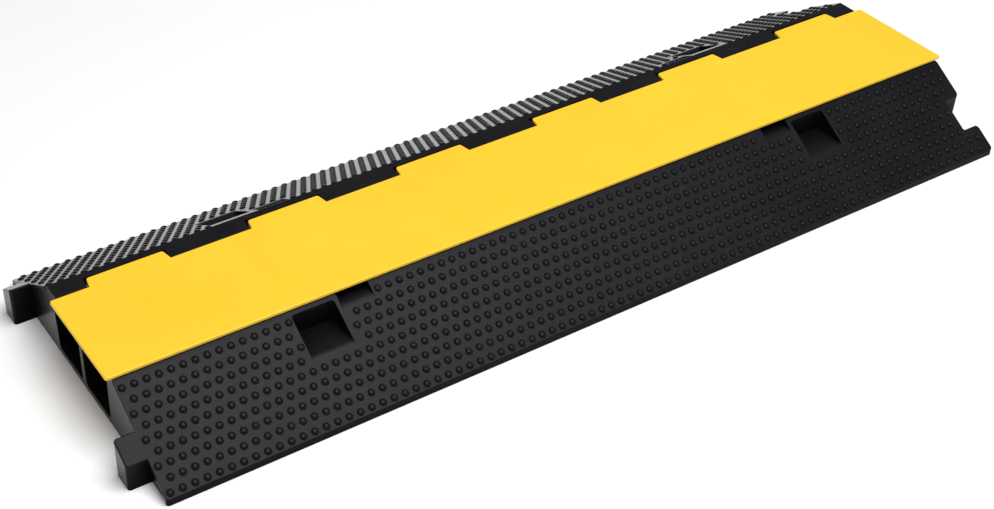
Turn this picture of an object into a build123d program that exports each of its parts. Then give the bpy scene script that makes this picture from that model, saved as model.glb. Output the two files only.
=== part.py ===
from build123d import *

import os
from math import atan, cos, hypot, radians, sin, tan

# Two-channel cable protector ramp, in millimetres. The cables run along X between two ramps,
# the front ramp is on the -Y side, the lid is hinged on the +Y side, and +Z is up.
# Every shape is drawn about the middle of the base and moved once, when it is written.

# Rubber base: lengths along X
BASE_LENGTH = 990.0
END_RECESS = 2.0          # the end faces stand this far inside the ramps' top skin
SKIN = 3.0                # thickness of that skin
TAB_REACH = 20.0          # how far the joining tabs stand out of the left end
SOCKET_DEPTH = 20.5

# Rubber base: section across Y and Z
BASE_WIDTH = 345.0
CREST_Y = 70.3            # top edge of each ramp
CREST_Z = 70.5
TOE_Z = 7.2
FLOOR_Z = 6.0             # thickness of the rubber under the cables
CHANNEL_WALL_Y = 59.0     # inner face of the outer walls, at the top
CHANNEL_DRAFT = 3.0       # the outer walls lean in by this much at the floor
DIVIDER_TOP = 5.0
DIVIDER_FOOT = 8.0
CHANNEL_ROUND = 4.0
CORNER_ROUND = 3.0        # upright corners at the toes
CREST_CORNER_ROUND = 5.0  # upright corners of the skins at the crests

# Lid
LID_LENGTH = 1000.0
LID_FRONT_Y = -75.4
LID_REAR_Y = 46.7
LID_TOP = 72.0
LID_THICKNESS = 3.0
LID_REST_GAP = 0.3
LID_EDGE_ROUND = 1.2
LID_CORNER_ROUND = 2.4
RIB_WIDTH = 4.0
RIB_DEPTH = 6.0
FRONT_RIBS_Y = (-52.0, -10.0)
REAR_RIBS_Y = (10.0, 38.0)
RIB_END_X = 478.0
RIB_BAYS = 12

# Hinge: six lid tongues between the base's seven knuckles
TONGUES = 6
TONGUE_PITCH = 167.8
TONGUE_ROOT = 82.6
TONGUE_TIP = 77.9
TONGUE_TIP_Y = 59.9
TONGUE_ROUND = 3.0
HINGE_Y = 54.4
HINGE_Z = 65.5
ROD_RADIUS = 3.0
RUNNING_GAP = 0.05
LID_BARREL = 5.5
LID_BARREL_LENGTH = 76.0
KNUCKLE_RADIUS = 7.2
KNUCKLE_GAP_ROOT = 1.4    # between a tongue's side and the knuckle beside it
KNUCKLE_GAP_TIP = 2.5
TONGUE_SWEEP_GAP = 0.5
CREST_RELIEF = 1.2        # depth of the wider strip that the open lid leans over
LID_OPEN_ANGLE = 105.0    # in degrees, how far the lid swings up and back

# Plugs that close the rod's bore
PLUG_LENGTH = 12.0
PLUG_HEAD_RADIUS = 3.8
PLUG_HEAD_LENGTH = 1.5
PLUG_HEAD_GAP = 0.1
PLUG_TIP_GAP = 0.5        # between a plug's tip and the rod's end
ROD_CHAMFER = 0.5

# Tabs at the left end and sockets at the right end, one of each on both ramps
TAB_INNER_Y = 115.2
TAB_OUTER_Y = 139.2
TAB_ROUND = 3.0
TAB_TOP_ROUND = 1.5
SOCKET_INNER_Y = 114.2
SOCKET_OUTER_Y = 146.5
SOCKET_ROUND = 2.0
SOCKET_MOUTH_ROUND = 4.0

# Deep pockets and shallow finger notches, two of each on both ramps
POCKET_X = 299.0
POCKET_WIDTH = 44.0
POCKET_BACK_Y = 78.8
POCKET_FLOOR_Z = 42.5
POCKET_ROUND = 3.0
POCKET_LIP_ROUND = 12.0   # the floor rolls over into the slope
NOTCH_X = 255.5
NOTCH_WIDTH = 34.0
NOTCH_BACK_Y = 70.8
NOTCH_FLOOR_Z = 61.0
NOTCH_ROUND = 2.0
NOTCH_LIP_ROUND = 18.0

# Derived places
HALF_WIDTH = BASE_WIDTH / 2
HALF_LENGTH = BASE_LENGTH / 2
CORE_HALF_LENGTH = HALF_LENGTH - END_RECESS
SLOPE = (CREST_Z - TOE_Z) / (HALF_WIDTH - CREST_Y)
LEDGE_Z = LID_TOP - LID_THICKNESS - LID_REST_GAP
LEDGE_Y = CREST_Y + (CREST_Z - LEDGE_Z) / SLOPE
SKIN_DROP = SKIN * hypot(1.0, SLOPE)
TONGUE_SWEEP = hypot(TONGUE_TIP_Y - HINGE_Y, LID_TOP - HINGE_Z) + TONGUE_SWEEP_GAP
BORE_RADIUS = ROD_RADIUS + RUNNING_GAP
ROD_HALF_LENGTH = CORE_HALF_LENGTH - PLUG_LENGTH - PLUG_HEAD_LENGTH
PAST = 20.0               # how far a cutting shape runs past what it cuts

# The stored part is centred on its overall length, from the tabs' ends to the lid's right edge.
CENTRE_SHIFT = Pos((HALF_LENGTH + TAB_REACH - LID_LENGTH / 2) / 2, 0, 0)


def prism(points, x_from, x_to):
    """A solid with the given (Y, Z) outline, from one X to another."""
    face = make_face(Plane.YZ * Polyline(*points, close=True))
    return Pos(x_from, 0, 0) * extrude(face, amount=x_to - x_from, dir=(1, 0, 0))


def rod_along_x(radius, x_from, x_to):
    """A round bar on the hinge axis."""
    middle = Pos((x_from + x_to) / 2, HINGE_Y, HINGE_Z)
    return middle * Rot(0, 90, 0) * Cylinder(radius, x_to - x_from)


def block(x_range, y_range, z_range):
    """A box between two limits on each axis."""
    size = [high - low for low, high in (x_range, y_range, z_range)]
    middle = [(high + low) / 2 for low, high in (x_range, y_range, z_range)]
    return Pos(*middle) * Box(*size)


def ordered(a, b):
    """Two values as a (low, high) pair."""
    return (min(a, b), max(a, b))


def slope_z(distance):
    """Height of a ramp's surface at a distance from the middle plane."""
    return CREST_Z - (distance - CREST_Y) * SLOPE


def tongue_centres():
    """X of the middle of each lid tongue."""
    return [(i - (TONGUES - 1) / 2) * TONGUE_PITCH for i in range(TONGUES)]


def ramp_core(x_from, x_to):
    """The outer section of the base without its knuckles, with both channels still filled."""
    outline = [
        (-HALF_WIDTH, 0),
        (-HALF_WIDTH, TOE_Z),
        (-LEDGE_Y, LEDGE_Z),
        (CHANNEL_WALL_Y, LEDGE_Z),
        (CHANNEL_WALL_Y, CREST_Z),
        (CREST_Y, CREST_Z),
        (HALF_WIDTH, TOE_Z),
        (HALF_WIDTH, 0),
    ]
    return prism(outline, x_from, x_to)


def ramp_skins():
    """The ramps' top skins, which overhang the recessed end faces."""
    lip_y = HALF_WIDTH - SKIN
    front = [
        (-HALF_WIDTH, 0),
        (-HALF_WIDTH, TOE_Z),
        (-LEDGE_Y, LEDGE_Z),
        (-LEDGE_Y, LEDGE_Z - SKIN_DROP),
        (-lip_y, slope_z(lip_y) - SKIN_DROP),
        (-lip_y, 0),
    ]
    rear = [
        (HALF_WIDTH, 0),
        (HALF_WIDTH, TOE_Z),
        (CREST_Y, CREST_Z),
        (CREST_Y, CREST_Z - SKIN_DROP),
        (lip_y, slope_z(lip_y) - SKIN_DROP),
        (lip_y, 0),
    ]
    front_skin = prism(front, -HALF_LENGTH, HALF_LENGTH)
    rear_skin = prism(rear, -HALF_LENGTH, HALF_LENGTH)
    front_corners = front_skin.edges().filter_by(Axis.Z).group_by(Axis.Y)[-1]
    rear_corners = rear_skin.edges().filter_by(Axis.Z).group_by(Axis.Y)[0]
    return fillet(front_corners, CREST_CORNER_ROUND) + fillet(rear_corners, CREST_CORNER_ROUND)


def rounded_plan():
    """A block over the whole base with its four upright corners rounded."""
    plan = RectangleRounded(BASE_LENGTH, BASE_WIDTH, CORNER_ROUND)
    return extrude(plan, amount=CREST_Z, dir=(0, 0, 1))


def channel(side):
    """One cable channel, open at the top and at both ends, with rounded floor corners."""
    outline = [
        (side * CHANNEL_WALL_Y, CREST_Z + PAST),
        (side * CHANNEL_WALL_Y, LEDGE_Z),
        (side * (CHANNEL_WALL_Y - CHANNEL_DRAFT), FLOOR_Z),
        (side * DIVIDER_FOOT / 2, FLOOR_Z),
        (side * DIVIDER_TOP / 2, LEDGE_Z),
        (side * DIVIDER_TOP / 2, CREST_Z + PAST),
    ]
    hollow = prism(outline, -HALF_LENGTH - PAST, HALF_LENGTH + PAST)
    floor_edges = hollow.edges().filter_by(Axis.X).group_by(Axis.Z)[0]
    return fillet(floor_edges, CHANNEL_ROUND)


def knuckle_bar():
    """The hinge bar on the rear wall, full length, before the tongue recesses are cut.

    A bracket that slopes down at 45 degrees joins the round bar to the wall behind it.
    """
    barrel = rod_along_x(KNUCKLE_RADIUS, -CORE_HALF_LENGTH, CORE_HALF_LENGTH)
    corner = KNUCKLE_RADIUS * cos(radians(45))
    back_y = CHANNEL_WALL_Y + SKIN
    bracket_z = HINGE_Z - corner - (back_y - HINGE_Y + corner)
    bracket = [
        (HINGE_Y - corner, HINGE_Z - corner),
        (back_y, bracket_z),
        (back_y, CREST_Z),
        (HINGE_Y, CREST_Z),
        (HINGE_Y, HINGE_Z),
    ]
    bar = barrel + prism(bracket, -CORE_HALF_LENGTH, CORE_HALF_LENGTH)
    above = block(
        (-HALF_LENGTH - PAST, HALF_LENGTH + PAST),
        (0, HALF_WIDTH),
        (CREST_Z, CREST_Z + PAST),
    )
    return bar - above


def open_plate_y():
    """How far back the fully open lid's top face reaches at the height of the crest."""
    angle = radians(LID_OPEN_ANGLE)
    plate = LID_TOP - HINGE_Z
    crest = CREST_Z - HINGE_Z
    return HINGE_Y + (plate - crest * cos(angle)) / sin(angle) + TONGUE_SWEEP_GAP


def tongue_recess(centre):
    """The room that one lid tongue swings in."""
    half_root = TONGUE_ROOT / 2 + KNUCKLE_GAP_ROOT
    half_tip = TONGUE_TIP / 2 + KNUCKLE_GAP_TIP
    front_y = CHANNEL_WALL_Y - PAST
    back_y = CREST_Y
    plan = [
        (centre - half_root, front_y),
        (centre - half_root, LID_REAR_Y),
        (centre - half_tip, TONGUE_TIP_Y),
        (centre - half_tip, back_y),
        (centre + half_tip, back_y),
        (centre + half_tip, TONGUE_TIP_Y),
        (centre + half_root, LID_REAR_Y),
        (centre + half_root, front_y),
    ]
    column = extrude(make_face(Polyline(*plan, close=True)), amount=CREST_Z + PAST, dir=(0, 0, 1))
    x_range = (centre - TONGUE_PITCH / 2, centre + TONGUE_PITCH / 2)
    sweep = rod_along_x(TONGUE_SWEEP, *x_range)
    channel_middle = CHANNEL_WALL_Y / 2
    in_front = block(x_range, (channel_middle, CHANNEL_WALL_Y), (HINGE_Z / 2, CREST_Z + PAST))
    above = block(x_range, (HINGE_Y, open_plate_y()), (CREST_Z - CREST_RELIEF, CREST_Z + PAST))
    return column & (sweep + in_front + above)


def tab(side):
    """One joining tab on the left end, its top flush with the ramp."""
    inside_x = -CORE_HALF_LENGTH + SKIN
    end_x = -HALF_LENGTH - TAB_REACH
    y_range = ordered(side * TAB_INNER_Y, side * TAB_OUTER_Y)
    limits = block((end_x, inside_x), y_range, (0, CREST_Z))
    body = ramp_core(end_x, inside_x) & limits
    upright_edges = body.edges().filter_by(Axis.Z).group_by(Axis.X)[0]
    body = fillet(upright_edges, TAB_ROUND)
    top_edges = body.faces().filter_by(GeomType.PLANE).sort_by(Axis.Z)[-1].edges()
    return fillet(top_edges.group_by(Axis.X)[0], TAB_TOP_ROUND)


def socket(side):
    """One joining socket through the right end, with a rounded mouth."""
    inner_x = HALF_LENGTH - SOCKET_DEPTH
    outer_x = HALF_LENGTH + PAST
    plan = [
        (inner_x, side * SOCKET_INNER_Y),
        (HALF_LENGTH, side * SOCKET_INNER_Y),
        (HALF_LENGTH, side * (SOCKET_INNER_Y - PAST)),
        (outer_x, side * (SOCKET_INNER_Y - PAST)),
        (outer_x, side * (SOCKET_OUTER_Y + PAST)),
        (HALF_LENGTH, side * (SOCKET_OUTER_Y + PAST)),
        (HALF_LENGTH, side * SOCKET_OUTER_Y),
        (inner_x, side * SOCKET_OUTER_Y),
    ]
    face = make_face(Polyline(*plan, close=True))
    face = fillet(face.vertices().group_by(Axis.X)[0], SOCKET_ROUND)
    mouth = face.vertices().group_by(Axis.X)[2].sort_by(lambda corner: abs(corner.Y))[1:3]
    face = fillet(mouth, SOCKET_MOUTH_ROUND)
    return extrude(face, amount=CREST_Z, dir=(0, 0, 1))


def hollow(side, centre, width, back_y, floor_z, corner_round, lip_round):
    """A hollow in a ramp: upright walls and a level floor that rolls over into the slope."""
    fall = atan(SLOPE)
    lip_y = CREST_Y + (CREST_Z - floor_z) / SLOPE
    reach = lip_round * tan(fall / 2)
    floor_end = (lip_y - reach, floor_z)
    slope_start = (lip_y + reach * cos(fall), floor_z - reach * sin(fall))
    top_z = CREST_Z + PAST
    walls = Polyline(slope_start, (slope_start[0], top_z), (back_y, top_z), (back_y, floor_z), floor_end)
    lip = TangentArc(floor_end, slope_start, tangent=(1, 0))
    face = make_face(Plane.YZ * (walls + lip))
    room = Pos(centre - width / 2, 0, 0) * extrude(face, amount=width, dir=(1, 0, 0))
    room = fillet(room.edges().filter_by(Axis.Z).group_by(Axis.Y)[0], corner_round)
    return room if side > 0 else mirror(room, about=Plane.XZ)


def pocket(side, centre):
    """One deep pocket."""
    return hollow(
        side, centre, POCKET_WIDTH, POCKET_BACK_Y, POCKET_FLOOR_Z, POCKET_ROUND, POCKET_LIP_ROUND
    )


def finger_notch(side, centre):
    """One shallow notch at the crest; the front ones let fingers reach the lid's edge."""
    return hollow(
        side, centre, NOTCH_WIDTH, NOTCH_BACK_Y, NOTCH_FLOOR_Z, NOTCH_ROUND, NOTCH_LIP_ROUND
    )


def rod_bore():
    """The rod's bore through the knuckles, widened at both ends for the plugs' heads."""
    bore = rod_along_x(BORE_RADIUS, -HALF_LENGTH, HALF_LENGTH)
    head_depth = PLUG_HEAD_LENGTH
    radius = PLUG_HEAD_RADIUS + PLUG_HEAD_GAP
    left = rod_along_x(radius, -HALF_LENGTH, -CORE_HALF_LENGTH + head_depth)
    right = rod_along_x(radius, CORE_HALF_LENGTH - head_depth, HALF_LENGTH)
    return bore + left + right


def base():
    """The one-piece rubber base."""
    body = ramp_core(-CORE_HALF_LENGTH, CORE_HALF_LENGTH) + ramp_skins()
    body &= rounded_plan()
    body -= channel(-1)
    body -= channel(1)
    body += knuckle_bar()
    for side in (-1, 1):
        body += tab(side)
        body -= socket(side)
        for end in (-1, 1):
            body -= pocket(side, end * POCKET_X)
            body -= finger_notch(side, end * NOTCH_X)
    for centre in tongue_centres():
        body -= tongue_recess(centre)
    return body - rod_bore()


def tongue(centre):
    """One lid tongue: a tapered flap with a bored barrel under it."""
    outline = [
        (centre - TONGUE_ROOT / 2, LID_REAR_Y - LID_THICKNESS),
        (centre - TONGUE_ROOT / 2, LID_REAR_Y),
        (centre - TONGUE_TIP / 2, TONGUE_TIP_Y),
        (centre + TONGUE_TIP / 2, TONGUE_TIP_Y),
        (centre + TONGUE_ROOT / 2, LID_REAR_Y),
        (centre + TONGUE_ROOT / 2, LID_REAR_Y - LID_THICKNESS),
    ]
    face = make_face(Polyline(*outline, close=True))
    face = fillet(face.vertices().group_by(Axis.Y)[-1], TONGUE_ROUND)
    return Pos(0, 0, LID_TOP - LID_THICKNESS) * extrude(face, amount=LID_THICKNESS, dir=(0, 0, 1))


def lid_ribs():
    """Moulded ribs under the lid, a ladder over each channel."""
    top_z = LID_TOP - LID_THICKNESS
    z_range = (top_z - RIB_DEPTH, top_z)
    ribs = []
    for rails in (FRONT_RIBS_Y, REAR_RIBS_Y):
        for y in rails:
            ribs.append(block((-RIB_END_X, RIB_END_X), (y - RIB_WIDTH / 2, y + RIB_WIDTH / 2), z_range))
        for i in range(RIB_BAYS + 1):
            x = (i / RIB_BAYS - 0.5) * (2 * RIB_END_X - RIB_WIDTH)
            ribs.append(block((x - RIB_WIDTH / 2, x + RIB_WIDTH / 2), rails, z_range))
    return ribs


def lid():
    """The hinged lid: plate, tongues, barrels and ribs in one moulding."""
    plate = block(
        (-LID_LENGTH / 2, LID_LENGTH / 2),
        (LID_FRONT_Y, LID_REAR_Y),
        (LID_TOP - LID_THICKNESS, LID_TOP),
    )
    plate = fillet(plate.edges().filter_by(Axis.Z), LID_CORNER_ROUND)
    for centre in tongue_centres():
        plate += tongue(centre)
    top_face = plate.faces().sort_by(Axis.Z)[-1]
    plate = fillet(top_face.edges(), LID_EDGE_ROUND)
    for centre in tongue_centres():
        half = LID_BARREL_LENGTH / 2
        plate += rod_along_x(LID_BARREL, centre - half, centre + half)
    for rib in lid_ribs():
        plate += rib
    return plate - rod_along_x(BORE_RADIUS, -HALF_LENGTH, HALF_LENGTH)


def hinge_rod():
    """The steel rod that the lid turns on."""
    rod = rod_along_x(ROD_RADIUS, -ROD_HALF_LENGTH, ROD_HALF_LENGTH)
    return chamfer(rod.edges().filter_by(GeomType.CIRCLE), ROD_CHAMFER)


def rod_plug(end):
    """One plug in the end of the bore, flush with the base's end face."""
    face_x = end * CORE_HALF_LENGTH
    head_x = face_x - end * PLUG_HEAD_LENGTH
    tip_x = head_x - end * (PLUG_LENGTH - PLUG_TIP_GAP)
    head = rod_along_x(PLUG_HEAD_RADIUS, *ordered(face_x, head_x))
    shank = rod_along_x(ROD_RADIUS, *ordered(head_x, tip_x))
    return head + shank


def main():
    nodes = {
        "base": base(),
        "lid": lid(),
        "hinge_rod": hinge_rod(),
        "rod_plug_left": rod_plug(-1),
        "rod_plug_right": rod_plug(1),
    }
    os.makedirs("parts", exist_ok=True)
    for name, solid in nodes.items():
        export_step(CENTRE_SHIFT * solid, f"parts/{name}.step")


main()
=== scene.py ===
from math import cos, hypot, pi, radians, sin

import bmesh
import bpy
from mathutils import Matrix, Vector
from mathutils.bvhtree import BVHTree


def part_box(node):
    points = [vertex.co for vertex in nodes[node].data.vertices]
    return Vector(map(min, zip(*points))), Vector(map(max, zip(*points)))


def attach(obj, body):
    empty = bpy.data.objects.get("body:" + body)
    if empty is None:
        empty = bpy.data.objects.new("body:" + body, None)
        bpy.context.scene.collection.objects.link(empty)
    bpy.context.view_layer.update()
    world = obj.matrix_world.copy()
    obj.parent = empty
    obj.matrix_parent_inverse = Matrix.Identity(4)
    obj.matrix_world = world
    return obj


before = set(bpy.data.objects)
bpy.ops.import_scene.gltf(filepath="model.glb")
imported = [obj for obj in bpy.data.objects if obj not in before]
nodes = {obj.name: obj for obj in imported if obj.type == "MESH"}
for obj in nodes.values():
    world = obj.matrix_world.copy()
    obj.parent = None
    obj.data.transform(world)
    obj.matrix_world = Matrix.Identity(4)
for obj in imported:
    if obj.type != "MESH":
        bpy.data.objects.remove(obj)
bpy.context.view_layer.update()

# Looks for the two-channel cable ramp. All lengths are metres in the frame's own axes:
# X runs along the cables, the lid is hinged on the +Y side, and Z is up.

base_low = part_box("base")[0]
lid_low, lid_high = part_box("lid")

MM = 0.001

# The joining tabs reach out of the ramps' left end
TAB_REACH = 20.0 * MM
base_skin_x = base_low.x + TAB_REACH

# Studs moulded on both ramps, in staggered rows down each slope
STUD_PITCH = 11.68 * MM
STUD_ROW_STEP = 12.45 * MM
STUD_COLUMNS = 85
STUD_SIDES = 14
STUD_RADIUS = 3.65 * MM
STUD_HEIGHT = 1.75 * MM
FRONT_FIRST_ROW = 15.3 * MM
FRONT_END_GAP = 5.64 * MM
FRONT_ROWS = 9
REAR_FIRST_ROW = 4.2 * MM
REAR_END_GAP = 5.4 * MM
REAR_ROWS = 10

# A stud stands only where probes on a circle round it all find plain ramp
STUD_MARGIN = 3.9 * MM
RIM_PROBES = 8
PROBE_HEIGHT = 5 * MM
FLAT_ENOUGH = 0.25 * MM

# The strip of ramp between the crest and a hollow is too narrow for studs
STRIP_WIDTH = 9 * MM

# Low round dots on the lid, in staggered rows along it
DOT_PITCH = 16.5 * MM
DOT_ROW_STEP = 12.26 * MM
DOT_END_GAP = 6.4 * MM
DOT_FRONT_GAP = 13.2 * MM
DOT_ROWS = 9
DOT_COLUMNS = 60
DOT_SIDES = 12
DOT_RADIUS = 2.1 * MM
DOT_HEIGHT = 0.11 * MM

# How far studs and dots are sunk into what they stand on
BUTTON_SINK = 0.04 * MM
DOME_STEPS = 6

# Camera
CAMERA_TARGET = Vector((-0.1806, 0.0117, 0.0200))
CAMERA_AZIMUTH = -31.27
CAMERA_ELEVATION = 38.09
CAMERA_DISTANCE = 1.6144
CAMERA_ROLL = -0.27
CAMERA_LENS = 59.48
CAMERA_SENSOR = 36
CAMERA_SHIFT_X = 0.1327

# Studio
FLOOR_REACH = 12.0
FLOOR_DROP = 0.1 * MM
FLOOR_WHITE = (0.95, 0.95, 0.95, 1)
WORLD_STRENGTH = 0.20
TOP_LIGHT_PLACE = (0.3, -0.7, 2.8)
TOP_LIGHT_SIZE = 2.3
TOP_LIGHT_POWER = 99
LEFT_LIGHT_PLACE = (-2.4, -0.3, 1.2)
LEFT_LIGHT_SIZE = 1.2
LEFT_LIGHT_POWER = 6.5

# Colours, and how rough or shiny each material gets from its least to its most
RUBBER_CLEAN = (0.0064, 0.0064, 0.0080)
RUBBER_DUSTY = (0.0098, 0.0098, 0.0118)
RUBBER_SCUFFED = (0.018, 0.018, 0.020)
# Painted shade: the darkest rubber colour, given to hollows where little light reaches
RUBBER_PAINTED_SHADE_IN_HOLLOWS = (0.0035, 0.0035, 0.004)
RUBBER_SHEEN_TINT = (0.96, 0.94, 1.0, 1)
RUBBER_ROUGHNESS = (0.355, 0.415)
# The low end of the rubber's shine is painted shade in hollows; the high end is for the open
RUBBER_SHINE = (0.03, 0.128)
RUBBER_COAT = (0, 0.65)
LID_DEEP = (0.93, 0.56, 0.022)
LID_PALE = (0.97, 0.61, 0.027)
LID_SCRATCHED = (0.90, 0.58, 0.07)
LID_ROUGHNESS = (0.36, 0.46)
STEEL_OILED = (0.16, 0.16, 0.165)
STEEL_STAINED = (0.10, 0.09, 0.085)
STEEL_ROUGHNESS = (0.22, 0.42)
PLUG_DARK = (0.012, 0.012, 0.012)
PLUG_PALE = (0.022, 0.022, 0.023)
PLUG_ROUGHNESS = (0.42, 0.58)

# Ranges of a noise or mask value, and what they pick out
ALL_OR_NONE = (0, 1)
MOST_OF_NOISE = (0.3, 0.7)
DUST_RANGE = (0.35, 0.75)
SCUFF_RANGE = (0.62, 0.72)
SCRATCH_RANGE = (0.66, 0.74)
HOLLOW_TO_OPEN = (0.55, 0.97)
SLANTED_TO_GRAZING = (0.65, 0.85)
NOISE_ROUGHNESS = 0.55
SHADING_SAMPLES = 6


# ---------------------------------------------------------------- materials

def new_material(name, **shader_values):
    """A material with its own principled shader; returns (material, node tree, shader)."""
    material = bpy.data.materials.new(name)
    material.use_nodes = True
    tree = material.node_tree
    shader = tree.nodes["Principled BSDF"]
    for socket, value in shader_values.items():
        shader.inputs[socket.replace("_", " ")].default_value = value
    return material, tree, shader


def place_coordinates(tree, stretch=(1, 1, 1)):
    """Coordinates in metres on the object, stretched along an axis if asked."""
    coordinates = tree.nodes.new("ShaderNodeTexCoord")
    mapping = tree.nodes.new("ShaderNodeMapping")
    mapping.inputs["Scale"].default_value = stretch
    tree.links.new(coordinates.outputs["Object"], mapping.inputs["Vector"])
    return mapping.outputs["Vector"]


def noise(tree, vector, size, detail=3.0):
    """A noise texture whose features are about that size, in metres."""
    node = tree.nodes.new("ShaderNodeTexNoise")
    node.inputs["Scale"].default_value = 1 / size
    node.inputs["Detail"].default_value = detail
    node.inputs["Roughness"].default_value = NOISE_ROUGHNESS
    tree.links.new(vector, node.inputs["Vector"])
    return node.outputs["Fac"]


def remap(tree, value, from_range, to_range):
    """A value moved from one range to another and kept inside it."""
    node = tree.nodes.new("ShaderNodeMapRange")
    node.inputs["From Min"].default_value = from_range[0]
    node.inputs["From Max"].default_value = from_range[1]
    node.inputs["To Min"].default_value = to_range[0]
    node.inputs["To Max"].default_value = to_range[1]
    tree.links.new(value, node.inputs["Value"])
    return node.outputs["Result"]


def mix_colours(tree, factor, first, second):
    """A colour between two, by a factor; either may be a colour or a socket."""
    node = tree.nodes.new("ShaderNodeMix")
    node.data_type = "RGBA"
    tree.links.new(factor, node.inputs["Factor"])
    for socket, colour in ((node.inputs[6], first), (node.inputs[7], second)):
        if isinstance(colour, tuple):
            socket.default_value = (*colour, 1)
        else:
            tree.links.new(colour, socket)
    return node.outputs[2]


def rounded_edges(tree, radius):
    """Normals that round every sharp edge by a small radius."""
    node = tree.nodes.new("ShaderNodeBevel")
    node.samples = SHADING_SAMPLES
    node.inputs["Radius"].default_value = radius
    return node.outputs["Normal"]


def add_bump(tree, shader, height, distance, under=None):
    """Bumps of that depth in metres, on top of the bumps in under."""
    node = tree.nodes.new("ShaderNodeBump")
    node.inputs["Strength"].default_value = 1.0
    node.inputs["Distance"].default_value = distance
    tree.links.new(height, node.inputs["Height"])
    if under is not None:
        tree.links.new(under, node.inputs["Normal"])
    tree.links.new(node.outputs["Normal"], shader.inputs["Normal"])
    return node.outputs["Normal"]


def openness(tree, reach):
    """How open the surface is to the light, from 0 deep in a hollow to 1 in the open."""
    node = tree.nodes.new("ShaderNodeAmbientOcclusion")
    node.samples = SHADING_SAMPLES
    node.inputs["Distance"].default_value = reach
    return node.outputs["AO"]


def rubber_material():
    """Black moulded rubber with a fine grain, dusty patches and small scuffs, with painted
    shade that darkens its colour and dims its shine in hollows.
    """
    material, tree, shader = new_material(
        "rubber", Coat_Roughness=0.2, Specular_Tint=RUBBER_SHEEN_TINT
    )
    place = place_coordinates(tree)
    open_air = openness(tree, 40 * MM)
    patches = noise(tree, place, 60 * MM)
    dust = remap(tree, patches, DUST_RANGE, ALL_OR_NONE)
    grain = noise(tree, place, 0.7 * MM, detail=2)
    scuffs = noise(tree, place_coordinates(tree, (0.25, 1, 1)), 3 * MM, detail=5)
    scuff_mask = remap(tree, scuffs, SCUFF_RANGE, ALL_OR_NONE)
    clean = mix_colours(tree, dust, RUBBER_CLEAN, RUBBER_DUSTY)
    scuffed = mix_colours(tree, scuff_mask, clean, RUBBER_SCUFFED)
    # Painted shade: the colour darkens towards the hollow colour where little light reaches
    unshaded_mask = remap(tree, open_air, HOLLOW_TO_OPEN, ALL_OR_NONE)
    colour = mix_colours(tree, unshaded_mask, RUBBER_PAINTED_SHADE_IN_HOLLOWS, scuffed)
    tree.links.new(colour, shader.inputs["Base Color"])
    roughness = remap(tree, patches, MOST_OF_NOISE, RUBBER_ROUGHNESS)
    tree.links.new(roughness, shader.inputs["Roughness"])
    # Painted shade: the shine drops in hollows where little light reaches
    shine_dimmed_by_painted_shade = remap(tree, open_air, HOLLOW_TO_OPEN, RUBBER_SHINE)
    tree.links.new(shine_dimmed_by_painted_shade, shader.inputs["Specular IOR Level"])
    facing = tree.nodes.new("ShaderNodeLayerWeight").outputs["Facing"]
    coat = remap(tree, facing, SLANTED_TO_GRAZING, RUBBER_COAT)
    tree.links.new(coat, shader.inputs["Coat Weight"])
    under = add_bump(tree, shader, grain, 0.02 * MM, under=rounded_edges(tree, 1.2 * MM))
    add_bump(tree, shader, noise(tree, place, 9 * MM), 0.06 * MM, under=under)
    return material


def lid_material():
    """Yellow moulded plastic with a faint orange-peel surface and light handling marks."""
    material, tree, shader = new_material("lid_plastic", Specular_IOR_Level=0.5)
    place = place_coordinates(tree)
    patches = noise(tree, place, 90 * MM)
    clean = mix_colours(tree, patches, LID_DEEP, LID_PALE)
    scratches = noise(tree, place_coordinates(tree, (0.06, 1, 1)), 2.5 * MM, detail=4)
    scratch_mask = remap(tree, scratches, SCRATCH_RANGE, ALL_OR_NONE)
    colour = mix_colours(tree, scratch_mask, clean, LID_SCRATCHED)
    tree.links.new(colour, shader.inputs["Base Color"])
    roughness = remap(tree, patches, MOST_OF_NOISE, LID_ROUGHNESS)
    tree.links.new(roughness, shader.inputs["Roughness"])
    under = add_bump(tree, shader, noise(tree, place, 1.6 * MM, detail=1), 0.03 * MM)
    add_bump(tree, shader, noise(tree, place, 40 * MM), 0.25 * MM, under=under)
    return material


def steel_material():
    """Oiled dark steel with fine lines round the rod and slight staining."""
    material, tree, shader = new_material("rod_steel", Metallic=1.0)
    lines = noise(tree, place_coordinates(tree, (1, 0.05, 0.05)), 0.4 * MM)
    stains = noise(tree, place_coordinates(tree), 18 * MM, detail=5)
    colour = mix_colours(tree, stains, STEEL_OILED, STEEL_STAINED)
    tree.links.new(colour, shader.inputs["Base Color"])
    roughness = remap(tree, stains, MOST_OF_NOISE, STEEL_ROUGHNESS)
    tree.links.new(roughness, shader.inputs["Roughness"])
    add_bump(tree, shader, lines, 0.01 * MM)
    return material


def plug_material():
    """Black plastic with a fine grain."""
    material, tree, shader = new_material("plug_plastic", Specular_IOR_Level=0.3)
    grain = noise(tree, place_coordinates(tree), 0.5 * MM, detail=2)
    colour = mix_colours(tree, grain, PLUG_DARK, PLUG_PALE)
    tree.links.new(colour, shader.inputs["Base Color"])
    roughness = remap(tree, grain, MOST_OF_NOISE, PLUG_ROUGHNESS)
    tree.links.new(roughness, shader.inputs["Roughness"])
    add_bump(tree, shader, grain, 0.03 * MM)
    return material


def paint(obj, material):
    """Gives the whole object one material."""
    if not obj.material_slots:
        obj.data.materials.append(material)
    for slot in obj.material_slots:
        slot.link = "OBJECT"
        slot.material = material


# ---------------------------------------------------------------- studs and dots

def ramp_edges():
    """The crest and toe of a ramp as (distance from the middle plane, height)."""
    points = [vertex.co for vertex in nodes["base"].data.vertices]
    crest_z = max(point.z for point in points)
    toe_y = max(point.y for point in points)
    near = 0.01 * MM
    crest_y = max(point.y for point in points if point.z > crest_z - near)
    toe_z = max(point.z for point in points if point.y > toe_y - near)
    return (crest_y, crest_z), (toe_y, toe_z)


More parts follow.
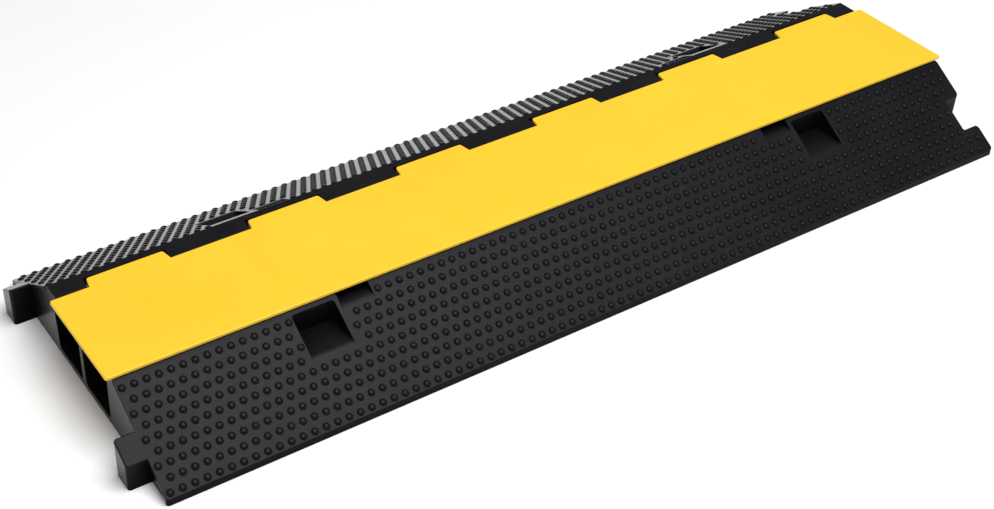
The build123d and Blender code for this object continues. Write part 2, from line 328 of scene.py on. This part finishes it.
def stud_places(side, first_row, end_gap, rows, surface):
    """Centres and normals of the studs on one ramp that have plain ramp all round them.

    The narrow strip between the crest and a hollow below it has no studs.
    """
    (crest_y, crest_z), (toe_y, toe_z) = ramp_edges()
    length = hypot(toe_y - crest_y, crest_z - toe_z)
    outward = (toe_y - crest_y) / length
    downward = (crest_z - toe_z) / length
    normal = Vector((0, side * downward, outward))
    along = Vector((0, side * outward, -downward))
    places = []
    for row in range(rows):
        distance = first_row + row * STUD_ROW_STEP
        start_x = base_skin_x + end_gap + (row % 2) * STUD_PITCH / 2
        for column in range(STUD_COLUMNS):
            crest = Vector((start_x + column * STUD_PITCH, side * crest_y, crest_z))
            centre = crest + along * distance
            near_crest = distance < STRIP_WIDTH
            if near_crest and not is_plain(crest + along * 2 * STRIP_WIDTH, normal, surface):
                continue
            if has_plain_ramp(centre, normal, along, surface):
                places.append((centre, normal))
    return places


def is_plain(point, normal, surface):
    """True if the ramp's own surface lies at that point."""
    hit = surface.ray_cast(point + normal * PROBE_HEIGHT, -normal)[0]
    return hit is not None and (hit - point).length < FLAT_ENOUGH


def has_plain_ramp(centre, normal, along, surface):
    """True if plain ramp lies all round a stud."""
    across = normal.cross(along)
    for step in range(RIM_PROBES):
        angle = 2 * pi * step / RIM_PROBES
        rim = centre + (along * sin(angle) + across * cos(angle)) * STUD_MARGIN
        if not is_plain(rim, normal, surface):
            return False
    return True


def dot_places():
    """Centres and normals of the low dots on the lid."""
    places = []
    up = Vector((0, 0, 1))
    for row in range(DOT_ROWS):
        start_x = lid_low.x + DOT_END_GAP + (row % 2) * DOT_PITCH / 2
        y = lid_low.y + DOT_FRONT_GAP + row * DOT_ROW_STEP
        for column in range(DOT_COLUMNS):
            places.append((Vector((start_x + column * DOT_PITCH, y, lid_high.z)), up))
    return places


def dome_profile(radius, height):
    """(radius, height) points of a dome that is flat on top and steep at its foot."""
    points = [(radius, -BUTTON_SINK)]
    for step in range(DOME_STEPS):
        ring = cos(step * pi / 2 / DOME_STEPS)
        points.append((radius * ring, height * (1 - ring ** 3)))
    return points


def add_button(shape, centre, normal, profile, sides):
    """One round button, lathed from its profile of (radius, height) points."""
    turn = normal.to_track_quat("Z", "Y").to_matrix()
    rings = []
    for radius, height in profile:
        ring = []
        for k in range(sides):
            angle = 2 * pi * k / sides
            offset = Vector((radius * cos(angle), radius * sin(angle), height))
            ring.append(shape.verts.new(centre + turn @ offset))
        rings.append(ring)
    for lower, upper in zip(rings, rings[1:]):
        for k in range(sides):
            after = (k + 1) % sides
            shape.faces.new((lower[k], lower[after], upper[after], upper[k]))
    shape.faces.new(rings[-1])
    shape.faces.new(list(reversed(rings[0])))


def make_buttons(name, places, profile, sides, material, body):
    """Many buttons as one mesh that rides on a body."""
    shape = bmesh.new()
    for centre, normal in places:
        add_button(shape, centre, normal, profile, sides)
    for face in shape.faces:
        face.smooth = True
    mesh = bpy.data.meshes.new(name)
    shape.to_mesh(mesh)
    shape.free()
    buttons = bpy.data.objects.new(name, mesh)
    bpy.context.scene.collection.objects.link(buttons)
    paint(buttons, material)
    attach(buttons, body)


# ---------------------------------------------------------------- studio

def make_floor():
    """A wide plain pale floor."""
    mesh = bpy.data.meshes.new("floor")
    corners = [
        (-FLOOR_REACH, -FLOOR_REACH, 0),
        (FLOOR_REACH, -FLOOR_REACH, 0),
        (FLOOR_REACH, FLOOR_REACH, 0),
        (-FLOOR_REACH, FLOOR_REACH, 0),
    ]
    mesh.from_pydata(corners, [], [(0, 1, 2, 3)])
    floor = bpy.data.objects.new("floor", mesh)
    bpy.context.scene.collection.objects.link(floor)
    floor.location.z = -FLOOR_DROP
    paint(floor, new_material("floor", Roughness=0.9, Base_Color=FLOOR_WHITE)[0])


def make_light(name, place, size, power):
    """A square soft white light that points at the middle of the ramp's footprint."""
    lamp = bpy.data.lights.new(name, "AREA")
    lamp.shape = "SQUARE"
    lamp.size = size
    lamp.energy = power
    light = bpy.data.objects.new(name, lamp)
    light.location = place
    light.rotation_euler = (-Vector(place)).to_track_quat("-Z", "Y").to_euler()
    bpy.context.scene.collection.objects.link(light)


def make_world():
    """Even white light from all round."""
    world = bpy.data.worlds.new("studio")
    world.use_nodes = True
    background = world.node_tree.nodes["Background"]
    background.inputs["Color"].default_value = (1, 1, 1, 1)
    background.inputs["Strength"].default_value = WORLD_STRENGTH
    bpy.context.scene.world = world


def make_camera():
    """The camera, which sees the ramp from the front left and above."""
    data = bpy.data.cameras.new("camera")
    data.lens = CAMERA_LENS
    data.sensor_width = CAMERA_SENSOR
    data.shift_x = CAMERA_SHIFT_X
    camera = bpy.data.objects.new("camera", data)
    azimuth = radians(CAMERA_AZIMUTH)
    elevation = radians(CAMERA_ELEVATION)
    back = Vector((
        sin(azimuth) * cos(elevation),
        -cos(azimuth) * cos(elevation),
        sin(elevation),
    ))
    facing = (-back).to_track_quat("-Z", "Y").to_matrix().to_4x4()
    roll = Matrix.Rotation(radians(CAMERA_ROLL), 4, "Z")
    place = Matrix.Translation(CAMERA_TARGET + back * CAMERA_DISTANCE)
    camera.matrix_world = place @ facing @ roll
    bpy.context.scene.collection.objects.link(camera)
    bpy.context.scene.camera = camera


def make_studio():
    """Floor, lights, camera and plain colour handling."""
    make_floor()
    make_world()
    make_light("top_light", TOP_LIGHT_PLACE, TOP_LIGHT_SIZE, TOP_LIGHT_POWER)
    make_light("left_light", LEFT_LIGHT_PLACE, LEFT_LIGHT_SIZE, LEFT_LIGHT_POWER)
    make_camera()
    bpy.context.scene.view_settings.view_transform = "Standard"


# ---------------------------------------------------------------- making

rubber = rubber_material()
paint(nodes["base"], rubber)
yellow = lid_material()
paint(nodes["lid"], yellow)
paint(nodes["hinge_rod"], steel_material())
plug = plug_material()
paint(nodes["rod_plug_left"], plug)
paint(nodes["rod_plug_right"], plug)

ramps = BVHTree.FromObject(nodes["base"], bpy.context.evaluated_depsgraph_get())
front_places = stud_places(-1, FRONT_FIRST_ROW, FRONT_END_GAP, FRONT_ROWS, ramps)
rear_places = stud_places(1, REAR_FIRST_ROW, REAR_END_GAP, REAR_ROWS, ramps)
stud_profile = dome_profile(STUD_RADIUS, STUD_HEIGHT)
for name, places in (("studs_front", front_places), ("studs_rear", rear_places)):
    make_buttons(name, places, stud_profile, STUD_SIDES, rubber, "base_body")
dot_profile = dome_profile(DOT_RADIUS, DOT_HEIGHT)
make_buttons("lid_dots", dot_places(), dot_profile, DOT_SIDES, yellow, "lid_body")
make_studio()
